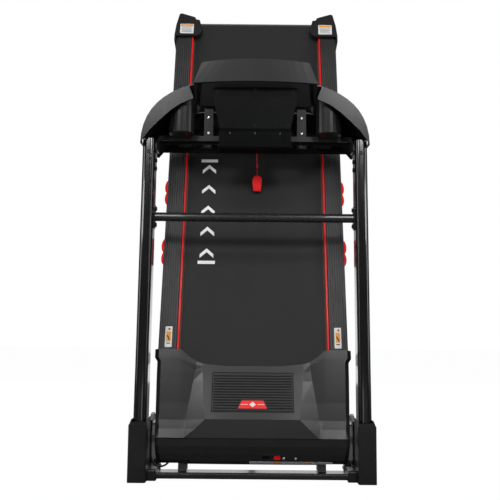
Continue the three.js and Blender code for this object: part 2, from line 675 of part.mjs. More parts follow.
// Ribbed foot rail: a top plate with lengthwise ribs and an outer skirt.
function railOutline() {
  const points = [[BOARD_TOP + 0.3, FOOT_RAIL_IN], [RAIL_TOP - 2, FOOT_RAIL_IN]];
  const ribs = 7;
  const pitch = (FOOT_RAIL_OUT - FOOT_RAIL_IN - 4) / ribs;
  for (let i = 0; i < ribs; i += 1) {
    const x = FOOT_RAIL_IN + 2 + i * pitch;
    points.push([RAIL_TOP, x], [RAIL_TOP, x + pitch * 0.62]);
    points.push([RAIL_TOP - 2, x + pitch * 0.72], [RAIL_TOP - 2, x + pitch * 0.9]);
  }
  points.push([RAIL_TOP - 3, FOOT_RAIL_OUT], [32, FOOT_RAIL_OUT], [32, FOOT_RAIL_OUT - 3]);
  points.push([BOARD_TOP + 0.3, FOOT_RAIL_OUT - 3]);
  return points.map(([z, x]) => [z, x]);
}

function buildRails() {
  const rail = run("y", outline(railOutline()), FOOT_RAIL_START, FOOT_RAIL_END);
  placePair(deck, "foot_rail", rail, plasticBlack);
  const stripSection = roundedOutline(14, 7, 2, BOARD_TOP + 7.4, STRIP_IN + 3.5);
  placePair(deck, "rail_strip", run("y", stripSection, FOOT_RAIL_START, FOOT_RAIL_END, 2), redPlastic);
}

function buildEndCaps() {
  const plan = outline([
    [319, 1519], [319, 1545], [314, 1590], [303, 1642], [300, 1645.5], [292, 1646.5],
    [241, 1629], [236, 1618], [222, 1615.5], [218.5, 1600], [211, 1577], [213, 1560],
    [221, 1547], [232, 1541], [313, 1541], [313, 1519],
  ]);
  const body = run("z", plan, -10, 98.5);
  const overBelt = block(200, 243.5, 1500, 1640, -20, 79);
  const shaftHole = rod("x", 8.6, 240, 270, 16, ROLLER_REAR.y, ROLLER_REAR.z);
  const boardEnd = block(200, 301, 1540, 1560.5, 53, 73);
  const inside = block(268, 306, 1551, 1580, -20, 92);
  placePair(deck, "end_cap", cut(body, overBelt, shaftHole, boardEnd, inside), plasticBlack);

  // Elastomer buffers between the frame and the rails, swelling out past the rail's edge.
  for (const [name, y] of [["cushion_front", 666], ["cushion_rear", 900]]) {
    const lobe = (at, r) => new THREE.SphereGeometry(r, 14, 10).scale(0.56, 1, 0.5).translate(315, at, 12);
    const pair = join(lobe(y + 22, 30), lobe(y - 24, 28));
    const outside = block(FRAME_OUT + GAP, 400, y - 80, y + 80, -40, 80);
    const buffer = geometryOf(solid(pair).intersect(solid(outside)));
    placePair(deck, name, buffer, redElastomer);
  }
}

// ---- motor hood -----------------------------------------------------------
// Stations from the hood's rear edge to the bottom of its nose. The middle stands up
// as a block with sloping sides (half widths top and foot), between lower shoulders.
const HOOD_STATIONS = [
  { y: 241, ySide: 296, top: 90, foot: 89, shoulder: 91, topHalf: 165, footHalf: 184, wing: 237, low: 4, flare: 8 },
  { y: 236, ySide: 269, top: 91, foot: 89.5, shoulder: 91.5, topHalf: 164, footHalf: 185, wing: 237, low: 4, flare: 8 },
  { y: 216, ySide: 256, top: 94, foot: 89, shoulder: 91.5, topHalf: 163, footHalf: 188, wing: 236, low: 4 },
  { y: 190, ySide: 200, top: 98, foot: 89, shoulder: 92, topHalf: 161, footHalf: 192, wing: 234, low: 4 },
  { y: 120, ySide: 124, top: 107, foot: 91, shoulder: 93, topHalf: 154, footHalf: 204, wing: 229, low: 4 },
  { y: 68, ySide: 68, top: 114, foot: 94, shoulder: 95, topHalf: 148, footHalf: 211, wing: 223, low: 4 },
  { y: 40, ySide: 40, top: 108, foot: 97.2, shoulder: 97.6, topHalf: 178, footHalf: 213, wing: 220.5, low: 4 },
  { y: 12, ySide: 12, top: 102, foot: 101, shoulder: 101.5, topHalf: 208, footHalf: 215, wing: 218, low: 4 },
  { y: 9, ySide: 9, top: 98.5, foot: 98, shoulder: 98, topHalf: 208, footHalf: 215, wing: 218, low: 4 },
  { y: -12, ySide: -12, top: 91, foot: 90.5, shoulder: 90, topHalf: 208, footHalf: 215, wing: 218, low: 10 },
  { y: -34, ySide: -34, top: 77, foot: 76.5, shoulder: 76, topHalf: 208, footHalf: 215, wing: 218, low: 24 },
  { y: -53, ySide: -51, top: 60, foot: 59.5, shoulder: 59, topHalf: 208, footHalf: 215, wing: 218, low: 34 },
  { y: -62, ySide: -59, top: 45, foot: 44.5, shoulder: 44, topHalf: 208, footHalf: 215, wing: 218, low: 38 },
];

function hoodSection(s, inset) {
  const widening = s.y > 12 ? (s.y - 12) * 0.033 : 0;
  const narrowing = s.y < -22 ? (-22 - s.y) * 0.1 : 0;
  const half = HOOD_HALF + widening - narrowing + (s.flare ?? 0) - inset;
  const drop = inset;
  const wallTop = Math.min(s.shoulder - 9, s.shoulder - drop - 6);
  const low = s.low;
  const right = [
    [half, s.ySide, low],
    [half, s.ySide, Math.max(wallTop, low + 3 - drop)],
    [half - 13, s.ySide, s.shoulder - drop],
    [s.wing, s.ySide, s.shoulder - 1 - drop],
    [(s.wing + s.footHalf) / 2, s.y + (s.ySide - s.y) * 0.6, (s.foot + s.shoulder - 1) / 2 - drop],
    [s.footHalf, s.y + (s.ySide - s.y) * 0.27, s.foot - drop],
    [s.topHalf, s.y + (s.ySide - s.y) * 0.15, s.top - drop],
    [88, s.y, s.top - drop],
  ];
  const left = right.map(([x, y, z]) => [-x, y, z]).reverse();
  return [...right, ...left];
}

function buildHood() {
  const skin = 3;
  const sections = HOOD_STATIONS.map((s) => {
    const inner = hoodSection(s, skin);
    return [...hoodSection(s, 0), ...inner.reverse()];
  });
  place(deck, "hood", cut(loft(sections), ...noseOpenings()), plasticBlack);
}

// ---- lift strut -------------------------------------------------------------
function buildStrut() {
  const eye = new THREE.Vector3(0, DECK_EYE_Y, DECK_EYE_Z).applyEuler(deck.rotation).add(deck.position);
  const dy = eye.y - STRUT_EYE_Y;
  const dz = eye.z - STRUT_EYE_Z;
  const reach = Math.hypot(dy, dz);
  const strut = new THREE.Group();
  strut.position.set(0, STRUT_EYE_Y, STRUT_EYE_Z);
  strut.rotation.x = Math.atan2(dz, dy);
  treadmill.add(strut);

  const neck = rod("y", 8, 6, 22, 16);
  const barrel = rod("y", 14, 20, CYLINDER_LENGTH, 22);
  const cylinder = join(rod("x", 11, -10, 10, 18), neck, barrel);
  const pinHole = rod("x", 5.5, -12, 12, 16);
  const bore = rod("y", 7, 22, CYLINDER_LENGTH + 1, 18);
  place(strut, "strut_cylinder", cut(cylinder, pinHole, bore), paintBlack);

  const shaft = rod("y", 6, reach - ROD_LENGTH, reach - 6, 16);
  const upperEye = rod("x", 10, -8, 8, 18, reach, 0);
  place(strut, "strut_rod", join(shaft, upperEye), steelBright);
}

// ---- hood fittings ----------------------------------------------------------
function hoodTop(y) {
  if (y > 190) {
    return 98 - (y - 190) * (7 / 50);
  }
  return y < 120 ? 107 + (120 - y) * (7 / 52) : 107 - (y - 120) * (9 / 70);
}

function buildVent() {
  const [y0, y1, ribs] = [94, 216, 14];
  const pitch = (y1 - y0) / ribs;
  const points = [[y0, hoodTop(y0) + GAP]];
  for (let i = 0; i < ribs; i += 1) {
    for (const [at, rise] of [[0.05, 1.6], [0.2, 3.4], [0.65, 3.4], [0.8, 1.6]]) {
      const y = y0 + (i + at) * pitch;
      points.push([y, hoodTop(y) + rise]);
    }
  }
  points.push([y1, hoodTop(y1) + 1.6]);
  points.push(...[y1, 190, 120].map((y) => [y, hoodTop(y) + GAP]));
  place(deck, "vent_panel", run("x", outline(points), -127, 127), plasticGrey);
}

// The power inlet and rocker switch sit in the sloping lower face of the hood's nose.
function onNose(geometry) {
  return geometry.rotateX(THREE.MathUtils.degToRad(NOSE_DEG)).translate(0, NOSE_Y, NOSE_Z);
}

function noseOpenings() {
  const switchHole = onNose(block(SWITCH_X - 11, SWITCH_X + 11, -7.5, 7.5, -8, 8));
  const inletHole = onNose(block(INLET_X - 15, INLET_X + 15, -8, 8, -8, 8));
  return [switchHole, inletHole];
}

function buildInlet() {
  const rocker = new THREE.Shape();
  rocker.moveTo(-6.4, -4);
  rocker.lineTo(6.4, -4);
  rocker.lineTo(6.4, 1.6);
  rocker.lineTo(0, 0.6);
  rocker.lineTo(-6.4, 2.6);
  place(deck, "power_switch", onNose(run("x", rocker, SWITCH_X - 10, SWITCH_X + 10)), redPlastic);

  const shell = block(INLET_X - 14.6, INLET_X + 14.6, -7.6, 7.6, -10, 1);
  const socket = block(INLET_X - 11, INLET_X + 11, -5, 5, -7, 2);
  place(deck, "mains_inlet", onNose(cut(shell, socket)), plasticGrey);
}

// ---- cords ------------------------------------------------------------------
function cordAlong(points, radius, sides, steps) {
  const curve = new THREE.CatmullRomCurve3(points.map((p) => new THREE.Vector3(...p)), false, "centripetal");
  const section = new THREE.Shape();
  for (let i = 0; i < sides; i += 1) {
    const angle = (i / sides) * 2 * Math.PI;
    const corner = [radius * Math.cos(angle), radius * Math.sin(angle)];
    if (i === 0) {
      section.moveTo(...corner);
    } else {
      section.lineTo(...corner);
    }
  }
  return new THREE.ExtrudeGeometry(section, { steps, bevelEnabled: false, extrudePath: curve });
}

function buildCords() {
  place(treadmill, "lanyard", cordAlong(LANYARD_ROUTE, 1.5, 8, 60), redPlastic);
  const clip = new THREE.Shape();
  clip.moveTo(-17, -62);
  clip.lineTo(17, -62);
  clip.lineTo(17, -26);
  clip.absarc(0, -17, 17, 0, Math.PI);
  clip.lineTo(-17, -26);
  const [x, y, z] = LANYARD_ROUTE[LANYARD_ROUTE.length - 1];
  const body = run("y", asZX(clip.getPoints(8).map((p) => [p.x, p.y])), y - 5, y + 5);
  place(treadmill, "lanyard_clip", body.translate(x, 0, z - GAP), redPlastic);
  place(treadmill, "console_cable", cordAlong(CABLE_ROUTE, 3, 8, 36), rubberBlack);
}

buildBase();
buildBoots();
buildUprights();
buildTray();
buildVisor();
buildDisplay();
buildUnderside();
buildDeckFrame();
buildRunningGear();
buildRails();
buildEndCaps();
buildHood();
buildVent();
buildInlet();
buildStrut();
buildCords();

export default treadmill;
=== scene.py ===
import json
import math

import bmesh
import bpy
from mathutils import Matrix, Vector
from mathutils.bvhtree import BVHTree


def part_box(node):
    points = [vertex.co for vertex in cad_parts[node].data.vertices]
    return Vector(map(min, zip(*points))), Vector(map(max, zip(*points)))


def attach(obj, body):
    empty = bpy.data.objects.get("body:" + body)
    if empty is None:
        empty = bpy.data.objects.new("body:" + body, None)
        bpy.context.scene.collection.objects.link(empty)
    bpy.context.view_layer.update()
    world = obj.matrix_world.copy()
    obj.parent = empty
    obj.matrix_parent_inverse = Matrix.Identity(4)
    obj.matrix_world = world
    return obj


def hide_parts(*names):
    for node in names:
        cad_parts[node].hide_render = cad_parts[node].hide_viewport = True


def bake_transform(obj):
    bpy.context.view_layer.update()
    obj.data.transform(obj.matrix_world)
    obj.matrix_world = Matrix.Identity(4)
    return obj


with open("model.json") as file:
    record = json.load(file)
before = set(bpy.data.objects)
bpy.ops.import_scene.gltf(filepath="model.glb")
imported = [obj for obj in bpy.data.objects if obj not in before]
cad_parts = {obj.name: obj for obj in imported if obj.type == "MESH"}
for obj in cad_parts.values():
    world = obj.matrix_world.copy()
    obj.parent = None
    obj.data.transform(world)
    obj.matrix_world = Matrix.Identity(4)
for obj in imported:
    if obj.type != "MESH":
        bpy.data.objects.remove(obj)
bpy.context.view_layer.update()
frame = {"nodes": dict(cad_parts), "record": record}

NODES = {name: bpy.data.objects[name] for name in frame["nodes"]}
JOINTS = {j["name"]: j for j in frame["record"]["behaviour"]["joints"]}
MM = 0.001
SIDES = ((-1, "left"), (1, "right"))

CAMERA_AT = (0, -2.73, 0.48)
CAMERA_TILT = 6.35
CAMERA_ROLL = 0.52
CAMERA_LENS = 50.4
CAMERA_SHIFT = -0.008
FLOOR_HALF = 14


# ---- camera, stage and light ------------------------------------------------
def build_camera():
    data = bpy.data.cameras.new("camera")
    data.sensor_width = 36
    data.lens = CAMERA_LENS
    data.shift_x = CAMERA_SHIFT
    camera = bpy.data.objects.new("camera", data)
    bpy.context.collection.objects.link(camera)
    pitch = Matrix.Rotation(math.radians(90 + CAMERA_TILT), 4, "X")
    roll = Matrix.Rotation(math.radians(CAMERA_ROLL), 4, "Z")
    camera.matrix_world = Matrix.Translation(CAMERA_AT) @ pitch @ roll
    bpy.context.scene.camera = camera


def area(name, at, look, size, power, color=(1, 1, 1)):
    data = bpy.data.lights.new(name, "AREA")
    data.shape = "RECTANGLE"
    data.size, data.size_y = size
    data.energy = power
    data.color = color
    light = bpy.data.objects.new(name, data)
    bpy.context.collection.objects.link(light)
    light.location = at
    light.rotation_euler = (Vector(look) - Vector(at)).to_track_quat("-Z", "Y").to_euler()


def pale_floor():
    """Nearly white to the eye, and dim enough as a light source to leave undersides dark."""
    material = bpy.data.materials.new("floor_pale")
    material.use_nodes = True
    tree = material.node_tree
    shader = tree.nodes["Principled BSDF"]
    shader.inputs["Base Color"].default_value = (0.86, 0.86, 0.86, 1)
    shader.inputs["Roughness"].default_value = 0.7
    shader.inputs["Specular IOR Level"].default_value = 0.0
    glow = tree.nodes.new("ShaderNodeEmission")
    glow.inputs[0].default_value = (1, 1, 1, 1)
    glow.inputs[1].default_value = 1.0
    seen = tree.nodes.new("ShaderNodeMixShader")
    seen.inputs[0].default_value = 0.985
    tree.links.new(shader.outputs[0], seen.inputs[1])
    tree.links.new(glow.outputs[0], seen.inputs[2])
    dim = tree.nodes.new("ShaderNodeBsdfDiffuse")
    dim.inputs[0].default_value = (0.2, 0.2, 0.2, 1)
    ray = tree.nodes.new("ShaderNodeLightPath")
    mix = tree.nodes.new("ShaderNodeMixShader")
    tree.links.new(ray.outputs["Is Camera Ray"], mix.inputs[0])
    tree.links.new(dim.outputs[0], mix.inputs[1])
    tree.links.new(seen.outputs[0], mix.inputs[2])
    tree.links.new(mix.outputs[0], tree.nodes["Material Output"].inputs[0])
    return material


def build_stage():
    mesh = bpy.data.meshes.new("floor")
    s = FLOOR_HALF
    mesh.from_pydata([(-s, -s, 0), (s, -s, 0), (s, s, 0), (-s, s, 0)], [], [(0, 1, 2, 3)])
    floor = bpy.data.objects.new("floor", mesh)
    bpy.context.collection.objects.link(floor)
    mesh.materials.append(pale_floor())
    build_world()
    area("key_left", (-2.3, -1.1, 1.45), (-0.2, -0.4, 1.0), (0.5, 2.4), 22)
    area("key_right", (2.3, -1.1, 1.45), (0.2, -0.4, 1.0), (0.5, 2.4), 22)
    area("front_left", (-0.84, -3.2, 2.4), (-0.3, -0.4, 0.9), (0.56, 0.5), 18)
    area("front_right", (0.84, -3.2, 2.4), (0.3, -0.4, 0.9), (0.56, 0.5), 21)
    area("near_left", (-0.98, -1.3, 1.12), (-0.2, -0.44, 0.3), (0.3, 0.3), 4)
    area("near_right", (0.98, -1.3, 1.12), (0.2, -0.44, 0.3), (0.3, 0.3), 4)
    area("low_front", (0, -3.5, 0.2), (0, -0.45, 0.17), (1.5, 0.26), 3)
    area("backdrop", (0, 3.4, 1.4), (0, 0, 1.2), (6, 3), 70)
    area("overhead", (0, -2.9, 3.6), (0, -0.4, 0.6), (3.2, 0.5), 20)
    area("ceiling", (0, 0.9, 4.2), (0, 0.6, 0), (4, 2.4), 90)


def build_world():
    """A white backdrop that gives the object only a little light of its own."""
    world = bpy.data.worlds.new("studio")
    world.use_nodes = True
    tree = world.node_tree
    dim = tree.nodes["Background"]
    dim.inputs[0].default_value = (0.97, 0.98, 1, 1)
    dim.inputs[1].default_value = 0.1
    white = tree.nodes.new("ShaderNodeBackground")
    white.inputs[0].default_value = (1, 1, 1, 1)
    ray = tree.nodes.new("ShaderNodeLightPath")
    mix = tree.nodes.new("ShaderNodeMixShader")
    tree.links.new(ray.outputs["Is Camera Ray"], mix.inputs[0])
    tree.links.new(dim.outputs[0], mix.inputs[1])
    tree.links.new(white.outputs[0], mix.inputs[2])
    tree.links.new(mix.outputs[0], tree.nodes["World Output"].inputs[0])
    bpy.context.scene.world = world
    bpy.context.scene.view_settings.view_transform = "Standard"


# ---- materials --------------------------------------------------------------
def shader_of(name):
    material = bpy.data.materials.new(name)
    material.use_nodes = True
    return material, material.node_tree, material.node_tree.nodes["Principled BSDF"]


def add(tree, kind, **values):
    node = tree.nodes.new(kind)
    for key, value in values.items():
        if key in node.inputs:
            node.inputs[key].default_value = value
        else:
            setattr(node, key, value)
    return node


def position(tree, scale=(1, 1, 1)):
    coord = add(tree, "ShaderNodeTexCoord")
    mapping = add(tree, "ShaderNodeMapping", Scale=scale)
    tree.links.new(coord.outputs["Object"], mapping.inputs["Vector"])
    return mapping.outputs["Vector"]


def noise(tree, vector, scale, detail=3.0, rough=0.55):
    node = add(tree, "ShaderNodeTexNoise", Scale=scale, Detail=detail, Roughness=rough)
    tree.links.new(vector, node.inputs["Vector"])
    return node.outputs["Fac"]


def ramp(tree, value, low, high, a, b):
    node = add(tree, "ShaderNodeMapRange")
    for key, number in (("From Min", low), ("From Max", high), ("To Min", a), ("To Max", b)):
        node.inputs[key].default_value = number
    tree.links.new(value, node.inputs["Value"])
    return node.outputs["Result"]


def mixed(tree, factor, a, b):
    node = add(tree, "ShaderNodeMix", data_type="RGBA")
    node.inputs[6].default_value = (*a, 1)
    node.inputs[7].default_value = (*b, 1)
    tree.links.new(factor, node.inputs[0])
    return node.outputs[2]


def bumped(tree, shader, height, strength, distance):
    node = add(tree, "ShaderNodeBump", Strength=strength, Distance=distance)
    tree.links.new(height, node.inputs["Height"])
    tree.links.new(node.outputs["Normal"], shader.inputs["Normal"])


def finish(name, base, rough, metal=0.0, grain=900, bump=0.25, depth=0.0002, coat=0.0,
           spread=0.06, tint=1.25, specular=0.28, stretch=(1, 1, 1)):
    """A moulded, painted or cast surface: mottled colour, uneven gloss, dust and a fine grain."""
    material, tree, shader = shader_of(name)
    where = position(tree)
    broad = noise(tree, where, 9, 4)
    lighter = tuple(min(1, c * tint + 0.002) for c in base)
    mottled = mixed(tree, ramp(tree, broad, 0.35, 0.7, 0, 1), base, lighter)
    tree.links.new(mottled, shader.inputs["Base Color"])
    smudges = noise(tree, where, 34, 5, 0.6)
    tree.links.new(ramp(tree, smudges, 0.3, 0.75, rough - spread, rough + spread), shader.inputs["Roughness"])
    fine = noise(tree, position(tree, stretch), grain, 2)
    bumped(tree, shader, fine, bump, depth)
    shader.inputs["Metallic"].default_value = metal
    shader.inputs["Specular IOR Level"].default_value = specular
    shader.inputs["Coat Weight"].default_value = coat
    shader.inputs["Coat Roughness"].default_value = 0.08
    return material


def belt_material():
    """Woven PVC belting: small raised diamonds in a grey-black sheet, scuffed along its length."""
    material, tree, shader = shader_of("belt_pvc")
    where = position(tree)
    waves = []
    for angle in (0.785, -0.785):
        turned = add(tree, "ShaderNodeMapping", Rotation=(0, angle, 0), Scale=(1, 1, 1))
        tree.links.new(where, turned.inputs["Vector"])
        wave = add(tree, "ShaderNodeTexWave", Scale=95.0, Distortion=0.0)
        tree.links.new(turned.outputs["Vector"], wave.inputs["Vector"])
        waves.append(wave.outputs["Fac"])
    both = add(tree, "ShaderNodeMath", operation="MULTIPLY")
    tree.links.new(waves[0], both.inputs[0])
    tree.links.new(waves[1], both.inputs[1])
    grit = noise(tree, where, 1400, 2)
    height = add(tree, "ShaderNodeMath", operation="MULTIPLY_ADD")
    tree.links.new(grit, height.inputs[0])
    height.inputs[1].default_value = 0.35
    tree.links.new(both.outputs[0], height.inputs[2])
    bumped(tree, shader, height.outputs[0], 0.5, 0.0004)
    scuff = noise(tree, position(tree, (6, 0.6, 0.6)), 5, 5, 0.6)
    base = mixed(tree, ramp(tree, scuff, 0.35, 0.75, 0, 1), (0.0035, 0.0034, 0.0032), (0.006, 0.0059, 0.0055))
    tree.links.new(base, shader.inputs["Base Color"])
    tree.links.new(ramp(tree, scuff, 0.3, 0.8, 0.52, 0.6), shader.inputs["Roughness"])
    shader.inputs["Specular IOR Level"].default_value = 0.34
    return material


def wood_material():
    material, tree, shader = shader_of("phenolic_board")
    grain = noise(tree, position(tree, (30, 1, 1)), 14, 6, 0.65)
    base = mixed(tree, ramp(tree, grain, 0.35, 0.7, 0, 1), (0.09, 0.055, 0.032), (0.17, 0.11, 0.065))
    tree.links.new(base, shader.inputs["Base Color"])
    shader.inputs["Roughness"].default_value = 0.6
    bumped(tree, shader, grain, 0.2, 0.0003)
    return material


def elastomer_material():
    """Cast polyurethane: saturated red, with a dull and slightly cloudy skin."""
    material, tree, shader = shader_of("red_elastomer")
    cloud = noise(tree, position(tree), 26, 4)
    base = mixed(tree, ramp(tree, cloud, 0.3, 0.75, 0, 1), (0.8, 0.006, 0.014), (0.95, 0.05, 0.025))
    tree.links.new(base, shader.inputs["Base Color"])
    tree.links.new(ramp(tree, cloud, 0.3, 0.7, 0.42, 0.5), shader.inputs["Roughness"])
    shader.inputs["Specular IOR Level"].default_value = 0.0
    bumped(tree, shader, noise(tree, position(tree), 300, 2), 0.06, 0.0003)
    return material


def cord_material():
    """Braided cord: a fine, uneven weave of lighter and darker strands."""
    material, tree, shader = shader_of("braided_red")
    where = position(tree)
    strands = noise(tree, where, 1500, 1)
    base = mixed(tree, strands, (0.42, 0.004, 0.008), (0.75, 0.015, 0.02))
    tree.links.new(base, shader.inputs["Base Color"])
    shader.inputs["Roughness"].default_value = 0.75
    shader.inputs["Sheen Weight"].default_value = 0.2
    bumped(tree, shader, strands, 0.5, 0.0004)
    return material


M = {
    "frame_paint": finish("paint_frame", (0.012, 0.012, 0.013), 0.28, 0.0, 260, 0.02, 0.0002, 0.2, 0.03),
    "upright_paint": finish("paint_upright", (0.005, 0.005, 0.006), 0.18, 0.0, 160, 0.015, 0.0002, 0.5,
                            0.01, 1.1),
    "deck_steel": finish("paint_deck", (0.014, 0.014, 0.015), 0.38, 0.0, 500, 0.15, 0.0002, 0.1),
    "hood_plastic": finish("plastic_hood", (0.0095, 0.0095, 0.0102), 0.3, 0.0, 1100, 0.03, 0.0001,
                           spread=0.004, tint=1.04, specular=0.38),
    "boot_plastic": finish("plastic_boot", (0.008, 0.008, 0.0085), 0.34, 0.0, 1000, 0.16, 0.00015, 0.1),
    "console_plastic": finish("plastic_console", (0.006, 0.006, 0.0062), 0.27, 0.0, 1200, 0.03, 0.0001,
                              spread=0.006, tint=1.08, specular=0.36),
    # Darker copy of the console plastic for the control box and cover: painted shade in its colour, with a
    # duller moulding.
    "cover_plastic": finish("plastic_cover", (0.0028, 0.003, 0.0034), 0.42, 0.0, 1200, 0.2, 0.00015,
                            spread=0.03, tint=1.1, specular=0.06),
    "visor_plastic": finish("plastic_visor", (0.019, 0.019, 0.0195), 0.36, 0.0, 1200, 0.06, 0.0001,
                            0.4, 0.01, 1.1),
    "panel_plastic": finish("plastic_panel", (0.01, 0.0102, 0.0115), 0.5, 0.0, 900, 0.3, 0.00018),
    "vent_plastic": finish("plastic_vent", (0.014, 0.0142, 0.0155), 0.4, 0.0, 1100, 0.15, 0.00015),
    "rail_plastic": finish("plastic_rail", (0.029, 0.029, 0.029), 0.4, 0.0, 700, 0.2, 0.00018,
                           stretch=(1, 0.1, 0.1)),
    "strip_red": finish("red_strip", (0.6, 0.004, 0.006), 0.42, 0.0, 600, 0.06, 0.0002, 0.05, 0.05, 1.1),
    "switch_red": finish("red_moulding", (0.85, 0.008, 0.008), 0.34, 0.0, 900, 0.1, 0.00015, 0.1, 0.05,
                         1.1),
    "cord_red": cord_material(),
    "cushion_red": elastomer_material(),
    "belt_rubber": belt_material(),
    "foot_rubber": finish("rubber_feet", (0.012, 0.012, 0.012), 0.75, 0.0, 500, 0.4, 0.0003),
    "cable_rubber": finish("rubber_cable", (0.008, 0.008, 0.008), 0.45, 0.0, 700, 0.2, 0.0002),
    "roller_steel": finish("steel_turned", (0.42, 0.42, 0.43), 0.32, 1.0, 900, 0.2, 0.0001,
                           stretch=(40, 1, 1)),
    "rod_chrome": finish("chrome_rod", (0.7, 0.7, 0.71), 0.1, 1.0, 400, 0.03, 0.0001, spread=0.03,
                         tint=1.02),
    "board_wood": wood_material(),
    "bolt_black": finish("bolt_black", (0.012, 0.012, 0.013), 0.32, 0.6, 600, 0.15, 0.0002),
    "bolt_zinc": finish("bolt_zinc", (0.55, 0.55, 0.57), 0.28, 1.0, 600, 0.1, 0.0001),
    "label_white": finish("label_white", (0.7, 0.7, 0.68), 0.4, 0.0, 800, 0.05, 0.0001, 0.1, tint=1.02),
    "label_amber": finish("label_amber", (0.75, 0.3, 0.03), 0.4, 0.0, 800, 0.05, 0.0001, tint=1.02),
    "label_grey": finish("label_grey", (0.16, 0.16, 0.17), 0.45, 0.0, 800, 0.05, 0.0001),
    "label_silver": finish("label_silver", (0.5, 0.53, 0.58), 0.45, 0.1, 800, 0.05, 0.0001, tint=1.1),
    "print_white": finish("print_white", (0.85, 0.85, 0.84), 0.55, 0.0, 800, 0.2, 0.0001, tint=1.05),
    "screen_glass": finish("screen_glass", (0.004, 0.006, 0.01), 0.07, 0.0, 300, 0.02, 0.0001, 0.8, 0.02),
    # Flat black: painted shade in slots, grooves, holes and wells; also the dark print on the rail labels.
    "void_black": finish("void_black", (0.002, 0.002, 0.002), 0.8, 0.0, 400, 0.2, 0.0002),
}


# ---- mesh helpers -----------------------------------------------------------
def linked(name, mesh, look, body):
    piece = bpy.data.objects.new(name, mesh)
    bpy.context.collection.objects.link(piece)
    mesh.materials.append(M[look])
    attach(piece, body)
    return piece


def sharpened(mesh, degrees=32):
    for polygon in mesh.polygons:
        polygon.use_smooth = True
    mesh.set_sharp_from_angle(angle=math.radians(degrees))


def softened(piece, width, segments=2, degrees=30):
    """Flat faces merged, edges given a small moulded or drawn radius."""
    flat = piece.modifiers.new("flat", "DECIMATE")
    flat.decimate_type = "DISSOLVE"
    flat.angle_limit = math.radians(0.4)
    edge = piece.modifiers.new("edge", "BEVEL")
    edge.width = width
    edge.segments = segments
    edge.limit_method = "ANGLE"
    edge.angle_limit = math.radians(degrees)
    edge.harden_normals = False
    even = piece.modifiers.new("even", "WEIGHTED_NORMAL")
    even.keep_sharp = True


def from_bm(bm, name, look, body, bevel=0.0, segments=2):
    bmesh.ops.recalc_face_normals(bm, faces=bm.faces)
    mesh = bpy.data.meshes.new(name)
    bm.to_mesh(mesh)
    bm.free()
    piece = linked(name, mesh, look, body)
    if bevel:
        softened(piece, bevel, segments)
    sharpened(mesh)
    return piece


def prism(bm, points, low, high, place=Matrix.Identity(4)):
    """A closed prism: points in x and y, from z low to z high, put in place."""
    bottom = [bm.verts.new(place @ Vector((x, y, low))) for x, y in points]
    top = [bm.verts.new(place @ Vector((x, y, high))) for x, y in points]
    count = len(points)
    bm.faces.new(bottom[::-1])
    bm.faces.new(top)
    for i in range(count):
        j = (i + 1) % count
        bm.faces.new((bottom[i], bottom[j], top[j], top[i]))


def lathe(bm, profile, sides, place=Matrix.Identity(4)):
    """A turned form about z. profile is (radius, z), starting and ending on the axis."""
    rings = []
    for r, z in profile:
        if r < 1e-7:
            rings.append([bm.verts.new(place @ Vector((0, 0, z)))])
        else:
            turns = [2 * math.pi * k / sides for k in range(sides)]
            rings.append([bm.verts.new(place @ Vector((r * math.cos(a), r * math.sin(a), z))) for a in turns])
    for low, high in zip(rings, rings[1:]):
        for k in range(sides):
            n = (k + 1) % sides
            corners = [low[k % len(low)], low[n % len(low)], high[n % len(high)], high[k % len(high)]]
            unique = list(dict.fromkeys(corners))
            if len(unique) > 2:
                bm.faces.new(unique)


def rounded(w, h, r, steps=5, cx=0.0, cy=0.0):
    points = []
    for sx, sy, start in ((1, 1, 0), (-1, 1, 90), (-1, -1, 180), (1, -1, 270)):
        for k in range(steps + 1):
            a = math.radians(start + 90 * k / steps)
            points.append((cx + sx * (w / 2 - r) + r * math.cos(a), cy + sy * (h / 2 - r) + r * math.sin(a)))
    return points


def facing(at, normal, up=(0, 0, 1)):
    """A placing whose z is the normal and whose y is as near as it can be to up."""
    z = Vector(normal).normalized()
    x = Vector(up).cross(z).normalized()
    y = z.cross(x)
    place = Matrix((x, y, z)).transposed().to_4x4()
    place.translation = Vector(at)
    return place


TREES = {}


def surface(node, start, direction):
    """Where a line meets a node, and the surface's normal there."""
    if node not in TREES:
        mesh = NODES[node].data
        TREES[node] = BVHTree.FromPolygons([v.co for v in mesh.vertices], [p.vertices for p in mesh.polygons])
    hit, normal, _, _ = TREES[node].ray_cast(Vector(start), Vector(direction).normalized())
    return (hit, normal) if hit else (None, None)


FOLD = math.radians(75.2)
DECK = Matrix.Translation(JOINTS["deck_fold"]["pos_m"]) @ Matrix.Rotation(FOLD, 4, "X")


def deck_point(x, s, h):
    return DECK @ Vector((x * MM, s * MM, h * MM))


def deck_way(x, s, h):
    return DECK.to_3x3() @ Vector((x, s, h))


# ---- cords ------------------------------------------------------------------
def tube(name, points, radius, look, body, resolution=3):
    data = bpy.data.curves.new(name, "CURVE")
    data.dimensions = "3D"
    data.bevel_depth = radius
    data.bevel_resolution = resolution
    data.use_fill_caps = True
    spline = data.splines.new("POLY")
    spline.points.add(len(points) - 1)
    for point, co in zip(spline.points, points):
        point.co = (*co, 1)
    spline.use_smooth = True
    piece = bpy.data.objects.new(name, data)
    bpy.context.collection.objects.link(piece)
    data.materials.append(M[look])
    if body:
        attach(piece, body)
    return piece


def smooth_path(points, steps):
    """Points at even steps along a smooth curve through the given ones."""
    path = []
    ends = [points[0] * 2 - points[1], *points, points[-1] * 2 - points[-2]]
    for a, b, c, d in zip(ends, ends[1:], ends[2:], ends[3:]):
        for k in range(steps):
            t = k / steps
            path.append(0.5 * (2 * b + (c - a) * t + (2 * a - 5 * b + 4 * c - d) * t * t
                               + (3 * b - a - 3 * c + d) * t ** 3))
    return [*path, points[-1]]


def spot(x, y, z):
    return Vector((x, y - 500, z)) * MM


